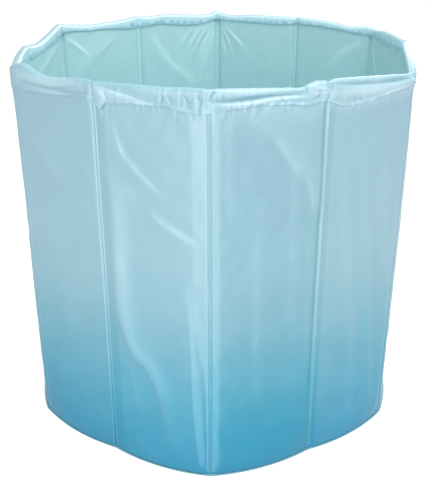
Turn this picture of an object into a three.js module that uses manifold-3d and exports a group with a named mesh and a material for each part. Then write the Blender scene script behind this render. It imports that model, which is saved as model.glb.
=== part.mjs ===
// A foldable bathtub: a soft twelve-sided tub whose wall is a ring of flat panels.
// Each panel is a pocket of coated cloth with a stiff board inside, and the welded seams
// between the pockets are its hinges. A folded hem goes round the rim, the wall stands on a
// soft three-layer floor, and a drain with a push-in stopper sits low in one rear panel.
// Millimetres, +Z up. The origin is on the underside of the floor, in the middle of the ring.

import * as THREE from 'three';
import { mergeVertices } from 'three/addons/utils/BufferGeometryUtils.js';
import Module from 'manifold-3d';

// Driving dimensions of the tub
const tub_height = 650;
const panel_pitch = 182;
const arm_count = 6;
const mountain_turn_deg = 45;

// Wall: cloth on both sides of a stiff board, and the seams where the cloth is welded together
const skin_thickness = 0.8;
const liner_thickness = 0.8;
const board_thickness = 4;
const seam_web_width = 16;
const board_edge_clearance = 5;
const touch_gap = 0.3;

// Soft form of the outer skin: it swells beside each seam and carries a few large creases
const skin_crown = 2.4;
const crease_height = 2.2;
const crown_rise_width = 10;
const skin_fade_height = 26;

// Rim hem: a folded band that hangs over the top of the wall, loose enough to roll and sag
const hem_cloth_thickness = 1.2;
const hem_inner_drop = 24;
const hem_rim_sag = 9;
const hem_puff = 4;

// Floor: base sheet, foam pad and floor liner, one on the other
const base_sheet_thickness = 1.2;
const floor_pad_thickness = 4;
const floor_liner_thickness = 0.8;
const floor_flange_width = 3;
const pad_edge_inset = 7;

// Drain in the rear right panel, and its stopper
const drain_panel = 9;
const drain_height = 52;
const drain_bore_radius = 11;
const drain_tube_wall = 3;
const drain_flange_radius = 24;
const drain_flange_thickness = 2.5;
const drain_gasket_thickness = 1.6;
const drain_nut_across_flats = 42;
const drain_nut_height = 8;
const drain_tube_overhang = 6;
const stopper_clearance = 0.3;
const stopper_head_thickness = 4;
const stopper_tab_width = 14;
const stopper_tab_reach = 15;
const stopper_tab_thickness = 5;
const stopper_tab_hole_radius = 3.5;
const drain_flat_width = 18;

// The drop of the hem's outer leg at each seam, counted round the ring from the front seam,
// as shares of the drop at the front seam
const hem_outer_drop = 43;
const hem_drop_shares = [1, 0.77, 0.84, 0.8, 0.78, 0.76, 0.8, 0.76, 0.78, 0.8, 0.7, 0.6];

// How far the rim's crest sags, as shares of the full sag: at the front seam, in the middle of
// panel 1, at seam 1, and so on round the ring
const rim_sag_shares = [
  0, 0.05, 0.15, 0.9, 0.35, 0.25, 0.25, 1, 0, 0, 0, 0,
  0, 0.05, 0.1, 0.15, 0, 0, 0, 0.4, 0.8, 0.45, 0, 0.6,
];

// How full the outer leg's roll is in the middle of each panel, as a share of the full puff
const hem_roll_shares = [0.6, 0.8, 0.4, 0.4, 0.4, 0.5, 0.5, 0.4, 0.4, 0.6, 1, 0.8];

// The outer leg's form from its lower edge up: how far out each step stands, as a share of the
// roll, with a full roll low down and a valley under the crest
const hem_leg_shares = [0.35, 1, 0.8, 0.1];

// Large creases of the front skins, the ones in view: each line runs through points given as
// shares of the panel's half width and of the tub's height, with its own height and width shares
const crease_line_shares = {
  1: [
    { path: [[0.69, 0.72], [0.68, 0.46], [0.4, 0.34], [0, 0.25], [-0.35, 0.09]], height: 1, width: 0.14 },
    { path: [[0.61, 0.88], [0.4, 0.82], [-0.3, 0.75]], height: 0.6, width: 0.1 },
    { path: [[-0.05, 0.7], [-0.37, 0.68], [-0.87, 0.67]], height: 0.5, width: 0.09 },
  ],
  2: [{ path: [[0.57, 0.82], [-0.33, 0.73]], height: 0.5, width: 0.14 }],
  11: [
    { path: [[0.56, 0.83], [-0.04, 0.1]], height: 0.5, width: 0.16 },
    { path: [[0.08, 0.82], [-0.62, 0.1]], height: 0.5, width: 0.16 },
  ],
  12: [
    { path: [[0.2, 0.92], [-0.46, 0.83], [-0.77, 0.77], [-0.84, 0.68]], height: 0.9, width: 0.12 },
    { path: [[0.26, 0.75], [0.14, 0.1]], height: 0.6, width: 0.14 },
    { path: [[-0.07, 0.74], [-0.26, 0.1]], height: 0.6, width: 0.14 },
  ],
};

const crease_rows = 15;
const crease_columns = 9;
const plain_rows = 1;
const plain_columns = 1;
const hem_stations = 8;
const round_sides = 24;
const arc_steps = 4;

// Values worked out from the driving dimensions
const degree = Math.PI / 180;
const panel_count = 2 * arm_count;
const valley_turn_deg = 360 / arm_count - mountain_turn_deg;
const half_pitch = panel_pitch / 2;
const half_web = seam_web_width / 2;
const board_outer_y = -skin_thickness - touch_gap;
const board_inner_y = board_outer_y - board_thickness;
const liner_outer_y = board_inner_y - touch_gap;
const liner_inner_y = liner_outer_y - liner_thickness;
const web_liner_outer_y = -skin_thickness - touch_gap;
const hem_outside_y = touch_gap + hem_cloth_thickness;
const hem_inside_y = liner_inner_y - touch_gap - hem_cloth_thickness;
const hem_radius = (hem_outside_y - hem_inside_y) / 2;
const hem_middle_y = (hem_outside_y + hem_inside_y) / 2;
const floor_height = base_sheet_thickness + floor_pad_thickness + floor_liner_thickness + 2 * touch_gap;
const wall_foot_z = floor_height + touch_gap;
const wall_top_z = tub_height - hem_radius - hem_rim_sag - touch_gap;
const drain_seat_half = drain_nut_across_flats / 2 / Math.cos(Math.PI / 6) + touch_gap;

// Seam 0 is at the front and the seams are counted clockwise seen from above. Even seams are
// the ones that fold outwards, so they are sharp, and odd seams fold inwards and are blunt.
function turnAt(seam) {
  return (seam % 2 === 0 ? mountain_turn_deg : valley_turn_deg) * degree;
}

// The seams' places in plan, and each panel's direction, by walking once round the ring.
function ringLayout() {
  const seams = [];
  const headings = [];
  const walker = new THREE.Vector2(0, 0);
  let heading = turnAt(0) / 2;
  for (let index = 0; index < panel_count; index += 1) {
    seams.push(walker.clone());
    headings.push(heading);
    walker.x -= panel_pitch * Math.cos(heading);
    walker.y += panel_pitch * Math.sin(heading);
    heading += turnAt(index + 1);
  }
  const middle = seams[0].clone().add(seams[arm_count]).divideScalar(2);
  seams.forEach((seam) => seam.sub(middle));
  return { seams, headings };
}

const ring = ringLayout();

function material(name, color, roughness) {
  return new THREE.MeshStandardMaterial({ name, color, roughness, metalness: 0 });
}

function smoothStep(value) {
  const clamped = THREE.MathUtils.clamp(value, 0, 1);
  return clamped * clamped * (3 - 2 * clamped);
}

// Place along a panel of a share s from -1 to 1, at offset y from the skin's face: both ends
// are cut along the bisecting plane of their seam, half a gap short of it.
function alongPanel(panel, s, y) {
  const start = -half_pitch - y * Math.tan(turnAt(panel - 1) / 2) + touch_gap / 2;
  const end = half_pitch + y * Math.tan(turnAt(panel) / 2) - touch_gap / 2;
  return start + ((end - start) * (s + 1)) / 2;
}

// A sheet with thickness: its outside and inside are grids of the same size, and quads join
// them along the four edges. Each face function gives [y, z] for a station s and a step t.
function thickSheet(panel, stations, steps, outside, inside) {
  const positions = [];
  const indices = [];
  const rowLength = steps.length;
  const faceLength = stations.length * rowLength;
  for (const face of [outside, inside]) {
    for (const s of stations) {
      for (const t of steps) {
        const [y, z] = face(s, t);
        positions.push(alongPanel(panel, s, y), y, z);
      }
    }
  }
  const quad = (a, b, c, d) => indices.push(a, b, c, a, c, d);
  const outer = (i, j) => i * rowLength + j;
  const inner = (i, j) => faceLength + i * rowLength + j;
  const lastStation = stations.length - 1;
  const lastStep = rowLength - 1;
  for (let i = 0; i < lastStation; i += 1) {
    for (let j = 0; j < lastStep; j += 1) {
      quad(outer(i, j), outer(i, j + 1), outer(i + 1, j + 1), outer(i + 1, j));
      quad(inner(i, j), inner(i + 1, j), inner(i + 1, j + 1), inner(i, j + 1));
    }
    quad(outer(i, 0), outer(i + 1, 0), inner(i + 1, 0), inner(i, 0));
    quad(outer(i, lastStep), inner(i, lastStep), inner(i + 1, lastStep), outer(i + 1, lastStep));
  }
  for (let j = 0; j < lastStep; j += 1) {
    quad(outer(0, j), inner(0, j), inner(0, j + 1), outer(0, j + 1));
    quad(outer(lastStation, j), outer(lastStation, j + 1), inner(lastStation, j + 1), inner(lastStation, j));
  }
  const geometry = new THREE.BufferGeometry();
  geometry.setAttribute('position', new THREE.Float32BufferAttribute(positions, 3));
  geometry.setIndex(indices);
  geometry.computeVertexNormals();
  return geometry;
}

// Shares of the panel's half width at which a distance from the seam lies.
function shareFromSeam(distance) {
  return 1 - distance / half_pitch;
}

// Height of one crease at a point: a rounded ridge along a broken line.
function creaseAt(line, u, w) {
  let nearest = Infinity;
  for (let index = 1; index < line.path.length; index += 1) {
    const [u0, w0] = line.path[index - 1];
    const [u1, w1] = line.path[index];
    const stretch = tub_height / half_pitch;
    const du = u1 - u0;
    const dw = (w1 - w0) * stretch;
    const along = ((u - u0) * du + (w - w0) * stretch * dw) / (du * du + dw * dw);
    const held = THREE.MathUtils.clamp(along, 0, 1);
    const distance = Math.hypot(u - u0 - held * du, (w - w0) * stretch - held * dw);
    nearest = Math.min(nearest, distance);
  }
  return line.height * crease_height * Math.exp(-((nearest / line.width) ** 2));
}

// How far the drain's flat seat holds the skin down: 0 at the seat, 1 away from it.
function drainFade(panel, u, z) {
  if (panel !== drain_panel) return 1;
  const distance = Math.max(Math.abs(u) * half_pitch, Math.abs(z - drain_height));
  return smoothStep((distance - drain_seat_half) / drain_flat_width);
}

// The skin's swell and creases. They fade out at the seams, under the hem and at the foot.
function skinRelief(panel, u, z) {
  const fromSeam = (1 - Math.abs(u)) * half_pitch - half_web;
  const sideFade = smoothStep(fromSeam / crown_rise_width);
  const topFade = smoothStep((wall_top_z - hem_outer_drop - z) / skin_fade_height);
  const footFade = smoothStep((z - wall_foot_z) / skin_fade_height);
  const lines = crease_line_shares[panel] ?? [];
  const creases = lines.map((line) => creaseAt(line, u, z / tub_height));
  const swell = skin_crown + Math.max(0, ...creases);
  return swell * sideFade * topFade * footFade * drainFade(panel, u, z);
}

// Stations across a panel: the seam's web, the swell beside it, and even columns between, more
// of them where the panel has creases. The drain's panel has two more, beside the flat seat.
function skinStations(panel) {
  const swellShare = shareFromSeam(half_web + crown_rise_width);
  const columns = panel in crease_line_shares ? crease_columns : plain_columns;
  const stations = [-1, -shareFromSeam(half_web)];
  for (let index = 0; index <= columns; index += 1) {
    stations.push(-swellShare + (2 * swellShare * index) / columns);
  }
  stations.push(shareFromSeam(half_web), 1);
  if (panel === drain_panel) stations.push(-drain_seat_half / half_pitch, drain_seat_half / half_pitch);
  return stations.sort((a, b) => a - b);
}

function skinLevels(panel) {
  const low = wall_foot_z + skin_fade_height;
  const high = wall_top_z - hem_outer_drop - skin_fade_height;
  const rows = panel in crease_line_shares ? crease_rows : plain_rows;
  const levels = [wall_foot_z];
  for (let index = 0; index <= rows; index += 1) {
    levels.push(low + ((high - low) * index) / rows);
  }
  levels.push(wall_top_z - hem_outer_drop, wall_top_z);
  if (panel === drain_panel) levels.push(drain_height - drain_seat_half, drain_height + drain_seat_half);
  return levels.sort((a, b) => a - b);
}

// The coated outer cloth of one panel, a half web of seam at each side.
function outerSkin(panel) {
  const outside = (s, z) => [skinRelief(panel, s, z), z];
  const inside = (s, z) => [skinRelief(panel, s, z) - skin_thickness, z];
  return thickSheet(panel, skinStations(panel), skinLevels(panel), outside, inside);
}

// The inner lining of one panel: it wraps the board's edges and meets the skin at the seam.
function liner(panel) {
  const webShare = shareFromSeam(half_web);
  const boardShare = shareFromSeam(half_web + board_edge_clearance);
  const stations = [-1, -webShare, -boardShare, boardShare, webShare, 1];
  const faceY = (s) => (Math.abs(s) > (webShare + boardShare) / 2 ? web_liner_outer_y : liner_outer_y);
  const outside = (s, z) => [faceY(s), z];
  const inside = (s, z) => [faceY(s) - liner_thickness, z];
  return thickSheet(panel, stations, [wall_foot_z, wall_top_z], outside, inside);
}

// The stiff board in a panel's pocket, clear of the seams so that they can fold.
function board(panel) {
  const edgeShare = shareFromSeam(half_web + board_edge_clearance + touch_gap);
  const levels = [wall_foot_z, wall_top_z];
  const outside = (s, z) => [board_outer_y, z];
  const inside = (s, z) => [board_inner_y, z];
  return thickSheet(panel, [-edgeShare, edgeShare], levels, outside, inside);
}

function hemOuterDropAt(panel, s) {
  const startDrop = hem_drop_shares[(panel - 1) % hem_drop_shares.length];
  const endDrop = hem_drop_shares[panel % hem_drop_shares.length];
  return hem_outer_drop * THREE.MathUtils.lerp(startDrop, endDrop, (s + 1) / 2);
}

// Height of the rim's crest: it eases from a seam's sag to the middle's and on to the next seam's.
function crestAt(panel, s) {
  const place = 2 * (panel - 1) + s + 1;
  const first = Math.min(Math.floor(place), 2 * panel - 1);
  const sagAt = (index) => rim_sag_shares[index % rim_sag_shares.length];
  const eased = smoothStep(place - first);
  return tub_height - hem_rim_sag * THREE.MathUtils.lerp(sagAt(first), sagAt(first + 1), eased);
}

// One length of the rim hem: a cloth band bent over the wall's top like an upturned U. Its
// outer leg rolls out between the seams, over a lower edge that lies back on the skin.
function rimHem(panel) {
  const stations = [];
  for (let index = 0; index <= hem_stations; index += 1) {
    stations.push(-1 + (2 * index) / hem_stations);
  }
  const legSteps = hem_leg_shares.length;
  const steps = [];
  for (let index = -legSteps; index <= arc_steps + 2; index += 1) {
    steps.push(index);
  }
  const face = (radius) => (s, t) => {
    const arcZ = crestAt(panel, s) - hem_radius;
    const roll = hem_puff * hem_roll_shares[panel - 1] * (1 - s * s);
    const outerLow = tub_height - hemOuterDropAt(panel, s);
    const innerLow = tub_height - hem_inner_drop;
    if (t < 0) {
      const step = t + legSteps;
      return [
        hem_middle_y + radius + roll * hem_leg_shares[step],
        THREE.MathUtils.lerp(outerLow, arcZ, step / legSteps),
      ];
    }
    if (t === arc_steps + 1) return [hem_middle_y - radius, (arcZ + innerLow) / 2];
    if (t === arc_steps + 2) return [hem_middle_y - radius, innerLow];
    const angle = (Math.PI * t) / arc_steps;
    return [hem_middle_y + radius * Math.cos(angle), arcZ + radius * Math.sin(angle)];
  };
  return thickSheet(panel, stations, steps, face(hem_radius), face(hem_radius - hem_cloth_thickness));
}

// The ring's outline moved out by a distance, as a flat shape.
function ringShape(outset) {
  const points = ring.seams.map((seam, index) => {
    const outwards = ring.headings[index] - turnAt(index) / 2;
    const reach = outset / Math.cos(turnAt(index) / 2);
    return new THREE.Vector2(
      seam.x - reach * Math.sin(outwards),
      seam.y - reach * Math.cos(outwards),
    );
  });
  return new THREE.Shape(points.reverse());
}

function floorLayer(outset, thickness) {
  return new THREE.ExtrudeGeometry(ringShape(outset), { depth: thickness, bevelEnabled: false });
}

const wasm = await Module();
wasm.setup();

function toSolid(geometry) {
  const plain = geometry.clone();
  plain.deleteAttribute('uv');
  plain.deleteAttribute('normal');
  const merged = mergeVertices(plain);
  const vertProperties = new Float32Array(merged.attributes.position.array);
  const triVerts = new Uint32Array(merged.index.array);
  return new wasm.Manifold(new wasm.Mesh({ numProp: 3, vertProperties, triVerts }));
}

function toGeometry(solid) {
  const { vertProperties, triVerts } = solid.getMesh();
  const geometry = new THREE.BufferGeometry();
  geometry.setAttribute('position', new THREE.Float32BufferAttribute(vertProperties, 3));
  geometry.setIndex(Array.from(triVerts));
  geometry.computeVertexNormals();
  return geometry;
}

// A turned piece of the drain: its profile gives [radius, y] and its axis is the drain's.
function drainTurned(profile, sides = round_sides) {
  const points = profile.map(([radius, y]) => new THREE.Vector2(radius, y));
  const geometry = new THREE.LatheGeometry(points, sides);
  geometry.translate(0, 0, drain_height);
  return geometry;
}

// Outsides of the drain's parts, from the wet side of the liner to the mouth of the tube
const drain_tube_radius = drain_bore_radius + drain_tube_wall;
const gasket_inner_y = liner_inner_y - touch_gap - drain_gasket_thickness;
const flange_face_y = gasket_inner_y - touch_gap;
const flange_inner_y = flange_face_y - drain_flange_thickness;
const nut_inner_y = touch_gap;
const nut_outer_y = nut_inner_y + drain_nut_height;
const drain_mouth_y = nut_outer_y + drain_tube_overhang;

// A hole for the drain's tube through a sheet of the wall.
function withDrainHole(panel, geometry) {
  if (panel !== drain_panel) return geometry;
  const radius = drain_tube_radius + touch_gap;
  const reach = board_thickness + 2 * (skin_thickness + liner_thickness) + skin_crown + crease_height;
  const cutter = new THREE.CylinderGeometry(radius, radius, 2 * reach, round_sides);
  cutter.translate(0, 0, drain_height);
  return toGeometry(toSolid(geometry).subtract(toSolid(cutter)));
}

// Flanged tube: its flange is inside the tub and its tube leads the water out.
function drainNozzle() {
  return drainTurned([
    [drain_bore_radius, flange_inner_y],
    [drain_flange_radius - drain_flange_thickness / 2, flange_inner_y],
    [drain_flange_radius, flange_inner_y + drain_flange_thickness / 2],
    [drain_flange_radius, flange_face_y],
    [drain_tube_radius, flange_face_y],
    [drain_tube_radius, drain_mouth_y],
    [drain_bore_radius, drain_mouth_y],
    [drain_bore_radius, flange_inner_y],
  ]);
}

function drainGasket() {
  const innerRadius = drain_tube_radius + touch_gap;
  const outerRadius = drain_flange_radius - drain_flange_thickness / 2;
  const outerY = gasket_inner_y + drain_gasket_thickness;
  return drainTurned([
    [innerRadius, gasket_inner_y],
    [outerRadius, gasket_inner_y],
    [outerRadius, outerY],
    [innerRadius, outerY],
    [innerRadius, gasket_inner_y],
  ]);
}

// Six-sided lock nut that clamps the wall against the flange.
function drainNut() {
  const cornerRadius = drain_nut_across_flats / 2 / Math.cos(Math.PI / 6);
  const body = new THREE.CylinderGeometry(cornerRadius, cornerRadius, drain_nut_height, 6);
  body.translate(0, nut_inner_y + drain_nut_height / 2, drain_height);
  const boreRadius = drain_tube_radius + touch_gap;
  const bore = new THREE.CylinderGeometry(boreRadius, boreRadius, 2 * drain_nut_height, round_sides);
  bore.translate(0, nut_inner_y + drain_nut_height / 2, drain_height);
  return toGeometry(toSolid(body).subtract(toSolid(bore)));
}

// Push-in stopper: a plug that fills the bore, a round head, and a pull tab with a finger hole.
function drainStopper() {
  const plugRadius = drain_bore_radius - stopper_clearance;
  const headInnerY = drain_mouth_y + touch_gap;
  const headOuterY = headInnerY + stopper_head_thickness;
  const tipY = flange_inner_y + drain_flange_thickness;
  const body = drainTurned([
    [0, tipY],
    [plugRadius - drain_tube_wall / 2, tipY],
    [plugRadius, tipY + drain_tube_wall],
    [plugRadius, headInnerY],
    [drain_tube_radius, headInnerY],
    [drain_tube_radius, headOuterY - stopper_head_thickness / 3],
    [drain_tube_radius - stopper_head_thickness / 3, headOuterY],
    [0, headOuterY],
  ]);
  const tabOutline = new THREE.Shape();
  const halfTab = stopper_tab_width / 2;
  const rootY = headOuterY - stopper_head_thickness / 2;
  const eyeY = headOuterY + stopper_tab_reach - halfTab;
  tabOutline.moveTo(-halfTab, rootY);
  tabOutline.lineTo(halfTab, rootY);
  tabOutline.lineTo(halfTab, eyeY);
  tabOutline.absarc(0, eyeY, halfTab, 0, Math.PI, false);
  tabOutline.closePath();
  const eye = new THREE.Path();
  eye.absarc(0, eyeY, stopper_tab_hole_radius, 0, 2 * Math.PI, true);
  tabOutline.holes.push(eye);
  const tab = new THREE.ExtrudeGeometry(tabOutline, {
    depth: stopper_tab_thickness,
    bevelEnabled: false,
    curveSegments: round_sides / 3,
  });
  tab.translate(0, 0, drain_height - stopper_tab_thickness / 2);
  return toGeometry(toSolid(body).add(toSolid(tab)));
}

const tub = new THREE.Group();

function addMesh(parent, name, geometry, surface) {
  const mesh = new THREE.Mesh(geometry, surface);
  mesh.name = name;
  parent.add(mesh);
  return mesh;
}

// A group in a panel's own frame: x along the panel, y outwards from the skin's face, z up.
function panelGroup(panel) {
  const start = ring.seams[panel - 1];
  const heading = ring.headings[panel - 1];
  const group = new THREE.Group();
  group.position.set(
    start.x - half_pitch * Math.cos(heading),
    start.y + half_pitch * Math.sin(heading),
    0,
  );
  group.rotation.z = Math.PI - heading;
  return group;
}

for (let panel = 1; panel <= panel_count; panel += 1) {
  const group = panelGroup(panel);
  const label = String(panel).padStart(2, '0');
  const skin = withDrainHole(panel, outerSkin(panel));
  const core = withDrainHole(panel, board(panel));
  const lining = withDrainHole(panel, liner(panel));
  addMesh(group, `outer_skin_${label}`, skin, material('outer skin', 0x9fcfe2, 0.32));
  addMesh(group, `board_${label}`, core, material('board', 0xe9ecec, 0.6));
  addMesh(group, `liner_${label}`, lining, material('liner', 0x9bd2dc, 0.36));
  addMesh(group, `rim_hem_${label}`, rimHem(panel), material('rim hem', 0xaedcea, 0.32));
  if (panel === drain_panel) {
    addMesh(group, 'drain_nozzle', drainNozzle(), material('drain plastic', 0xf2f4f4, 0.35));
    addMesh(group, 'drain_gasket', drainGasket(), material('gasket rubber', 0x5d6468, 0.7));
    addMesh(group, 'drain_nut', drainNut(), material('drain plastic', 0xf2f4f4, 0.35));
    addMesh(group, 'drain_stopper', drainStopper(), material('stopper', 0xe4eef2, 0.5));
  }
  tub.add(group);
}

const base = floorLayer(floor_flange_width, base_sheet_thickness);
addMesh(tub, 'base_sheet', base, material('base sheet', 0x8cc4da, 0.4));

const pad = floorLayer(-pad_edge_inset, floor_pad_thickness);
pad.translate(0, 0, base_sheet_thickness + touch_gap);
addMesh(tub, 'floor_pad', pad, material('foam', 0xf4f6f4, 0.8));

const floorLiner = floorLayer(floor_flange_width, floor_liner_thickness);
floorLiner.translate(0, 0, base_sheet_thickness + floor_pad_thickness + 2 * touch_gap);
addMesh(tub, 'floor_liner', floorLiner, material('floor liner', 0x9bd2dc, 0.36));

export default tub;
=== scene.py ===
"""A foldable bathtub of coated cloth: the looks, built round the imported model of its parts."""

import bpy
import math
import numpy as np
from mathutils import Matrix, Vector


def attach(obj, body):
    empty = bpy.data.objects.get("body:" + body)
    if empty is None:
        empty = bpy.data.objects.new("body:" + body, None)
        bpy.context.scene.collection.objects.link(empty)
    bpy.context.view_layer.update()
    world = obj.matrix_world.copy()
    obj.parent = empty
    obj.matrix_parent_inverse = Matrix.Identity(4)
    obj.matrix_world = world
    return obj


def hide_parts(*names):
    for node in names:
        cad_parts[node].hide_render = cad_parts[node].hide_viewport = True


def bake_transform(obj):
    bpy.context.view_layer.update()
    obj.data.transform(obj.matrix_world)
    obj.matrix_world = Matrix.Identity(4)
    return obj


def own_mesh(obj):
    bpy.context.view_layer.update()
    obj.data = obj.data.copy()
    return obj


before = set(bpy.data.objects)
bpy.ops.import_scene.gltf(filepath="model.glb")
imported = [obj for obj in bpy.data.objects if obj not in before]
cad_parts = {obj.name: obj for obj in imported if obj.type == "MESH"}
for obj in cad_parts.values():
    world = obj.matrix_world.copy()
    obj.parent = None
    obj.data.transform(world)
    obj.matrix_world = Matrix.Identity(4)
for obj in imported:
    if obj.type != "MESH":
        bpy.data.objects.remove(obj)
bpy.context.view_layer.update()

# Camera: the photograph looks at the front seam from a little to its right and from about
# 25 degrees above, from 1.35 metres in front of the tub's middle.
view_place = Vector((0.0276, -1.349, 0.8867))
view_pitch = math.radians(24.59)
view_turn = math.radians(1.02)
view_lens = 56.4
frame_side = 36.0


def put_in_scene(name, data):
    """A new object in the scene that shows a camera, mesh or lamp."""
    thing = bpy.data.objects.new(name, data)
    bpy.context.scene.collection.objects.link(thing)
    return thing


camera_data = bpy.data.cameras.new("photo_view")
camera_data.sensor_fit = "VERTICAL"
camera_data.sensor_width = frame_side
camera_data.sensor_height = frame_side
camera_data.lens = view_lens
camera = put_in_scene("photo_view", camera_data)
camera.location = view_place
camera.rotation_euler = (math.pi / 2 - view_pitch, 0, view_turn)
bpy.context.scene.camera = camera

# Outer skin: a sheet of nylon cloth coated with PVC, which goes once round the wall. It is
# welded to the lining at twelve upright seams, so that each panel is a pocket for a board,
# and the cloth over a pocket is loose enough to swell a little and to crease.
mm = 0.001
arm_count = 6
panel_count = 2 * arm_count
panel_pitch = 182.0
half_pitch = panel_pitch / 2
tub_height = 650.0
mountain_turn = math.radians(45)
valley_turn = 2 * math.pi / arm_count - mountain_turn
corner_round = 8.0
open_seam = 3
skin_thickness = 0.8
skin_foot = 2.8
board_top = 636.1
hem_radius = 4.6
hem_zone = 591.0
top_stretch = 60.0
top_shortfall = 1.6
weld_reach = 9.0
weld_step = 0.6
panel_step = 2.2
last_column = 90.6
first_row = 0.8
drain_panel = 9
drain_height = 52.0
drain_seat = 25.0
drain_ramp = 18.0
drain_hole = 15.5

seam_turns = np.array([mountain_turn, valley_turn] * arm_count)
headings = mountain_turn / 2 + np.concatenate([[0], np.cumsum(seam_turns[1:])])
walk = panel_pitch * np.stack([-np.cos(headings), np.sin(headings)], -1)
seam_places = np.concatenate([np.zeros((1, 2)), np.cumsum(walk, 0)[:-1]])
seam_places = seam_places - (seam_places[0] + seam_places[arm_count]) / 2

# The rim's crest: places round the ring, in panels clockwise from the front seam as seen from
# above, and how far under the tub's nominal height it lies there
crest_points = [
    (0, -2.5), (0.155, -1.9), (0.4, 0.7), (0.665, 1.3), (0.95, 2.2), (1.035, 1.3), (1.29, 5.9),
    (1.55, 9.6), (1.695, 4.6), (1.85, -3.5), (1.95, 1), (2.05, 5), (2.5, 2), (2.9, 3.5), (3.075, 8),
    (3.325, 11), (3.525, 7), (3.75, 0), (3.95, -5.5), (4.1, -2), (4.37, 2.6), (4.625, 1.3), (4.82, -0.6),
    (4.995, -4.5), (5.07, -3.2), (5.33, -5.2), (5.55, -3.2), (5.75, -0.5), (5.895, -1.5), (5.99, -7),
    (6.05, -3.5), (6.165, 0), (6.45, -2.6), (6.855, -3.2), (7.025, -4), (7.47, -1.9), (7.75, 2),
    (7.925, -1), (8.05, 0.5), (8.385, -5.5), (8.695, -7.5), (8.95, -6), (9.25, -2), (9.6, 2), (9.9, 9),
    (10.025, 12.6), (10.31, 10.1), (10.67, 4.9), (10.975, 0.6), (11.045, 0.2), (11.125, 0.5),
    (11.175, 3.4), (11.24, 7), (11.35, 6.2), (11.6, 3), (11.825, -0.5),
]

# The hem's lower edge on the outside, in the same form
hem_edge_points = [
    (0, 29.5), (0.065, 33), (0.16, 30.6), (0.25, 29.5), (0.32, 26.2), (0.5, 26.7), (0.65, 27),
    (0.82, 30.6), (0.88, 31), (0.925, 41), (0.965, 33), (1, 28), (1.1, 25), (1.32, 29.9), (1.525, 33.2),
    (1.75, 36), (2, 37), (2.5, 33), (3, 36), (3.55, 32), (4, 35), (4.55, 31), (5, 36), (5.45, 32),
    (6, 35), (6.5, 31), (7, 36), (7.55, 33), (8, 35), (8.5, 32), (9, 34), (9.6, 32), (10, 30),
    (10.13, 31.5), (10.395, 36), (10.595, 39), (10.925, 34.5), (11, 29), (11.07, 26.7), (11.155, 29.5),
    (11.345, 26), (11.5, 24), (11.595, 23.4), (11.765, 25.4), (11.925, 26.7),
]


def ring_share(panel, u):
    """Place round the ring, in panels from the front seam, of a share u across a panel."""
    return panel - 1 + (u + 1) / 2


def ring_z(points, panel, u):
    """A height that runs smoothly round the ring through given points: between two points it
    is their cubic with slopes taken from the points on either side, and the ring closes."""
    places, drops = np.array(points, float).T
    places = np.concatenate([places[-2:] - panel_count, places, places[:2] + panel_count])
    drops = np.concatenate([drops[-2:], drops, drops[:2]])
    slopes = np.gradient(drops, places)
    where = ring_share(panel, u)
    left = np.clip(np.searchsorted(places, where, side="right") - 1, 0, len(places) - 2)
    gap = places[left + 1] - places[left]
    t = (where - places[left]) / gap
    drop = drops[left] * (1 + 2 * t) * (1 - t) ** 2 + drops[left + 1] * t**2 * (3 - 2 * t)
    drop = drop + gap * (slopes[left] * t * (1 - t) ** 2 - slopes[left + 1] * t**2 * (1 - t))
    return tub_height - drop


def smooth_step(value):
    """0 below 0, 1 above 1, and 3t^2 - 2t^3 between."""
    t = np.clip(value, 0, 1)
    return t * t * (3 - 2 * t)


def wall_points(seam, a, y, z):
    """Points of the wall beside a seam, in metres, from millimetres along, outwards and up.
    Within corner_round of the seam a point lies on an arc about the corner's centre, turned
    by its share of the seam's angle, and what is left of a runs straight along the panel."""
    turn = seam_turns[seam]
    middle = headings[seam] - turn / 2
    radius = corner_round / math.tan(turn / 2)
    bend = np.clip(a / corner_round, -1, 1)
    heading = middle + turn / 2 * bend
    reach = radius / math.cos(turn / 2)
    rest = a - corner_round * bend
    x = seam_places[seam][0] + reach * math.sin(middle) - (radius + y) * np.sin(heading)
    depth = seam_places[seam][1] + reach * math.cos(middle) - (radius + y) * np.cos(heading)
    points = np.broadcast_arrays(x - rest * np.cos(heading), depth + rest * np.sin(heading), z)
    return np.stack(points, -1) * mm


def beside_seam(seam, a, shape):
    """shape(panel, u) worked out on both sides of a seam, where u is a row of shares, which
    run from -1 to 1 over a panel."""
    before = shape((seam - 1) % panel_count + 1, (1 + a[a < 0] / half_pitch)[None])
    after = shape(seam + 1, (a[a >= 0] / half_pitch - 1)[None])
    return np.concatenate([before, after], -1)


def columns_beside(part):
    """Distances from the seam of a piece's columns: close together over the weld, wider out
    on the panel, and a last narrow one, so that two pieces meet with the same shading."""
    weld = np.arange(0, weld_reach + 0.1, weld_step)
    over_panel = np.arange(weld_reach + panel_step, last_column - weld_step, panel_step)
    half = np.concatenate([weld, over_panel, [last_column, half_pitch]])
    if part == "before":
        return -half[::-1]
    if part == "after":
        return half
    return np.concatenate([-half[:0:-1], half])


def seam_parts():
    """The pieces of cloth: one over each seam, and two halves at the seam where the ring of
    hinges is open. Each comes with its seam, part, label and panel."""
    for seam in range(panel_count):
        panel = seam + 1
        if seam == open_seam:
            yield seam, "before", "03_left", seam
            yield seam, "after", "03_right", panel
        else:
            yield seam, "whole", f"{seam:02d}", panel


def curve_through(points, steps=7):
    """A smooth line through points: each stretch is the cubic that leaves its points along
    the line between their neighbours."""
    p = np.vstack([2 * points[0] - points[1], points, 2 * points[-1] - points[-2]])
    t = np.linspace(0, 1, steps, endpoint=False)[None, :, None]
    a, b, c, d = (p[i : len(p) - 3 + i, None] for i in range(4))
    line = b + (c - a) * t / 2 + (2 * a - 5 * b + 4 * c - d) * t**2 / 2
    line = line + (3 * (b - c) + d - a) * t**3 / 2
    return np.vstack([line.reshape(-1, 2), points[-1:]])


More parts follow.
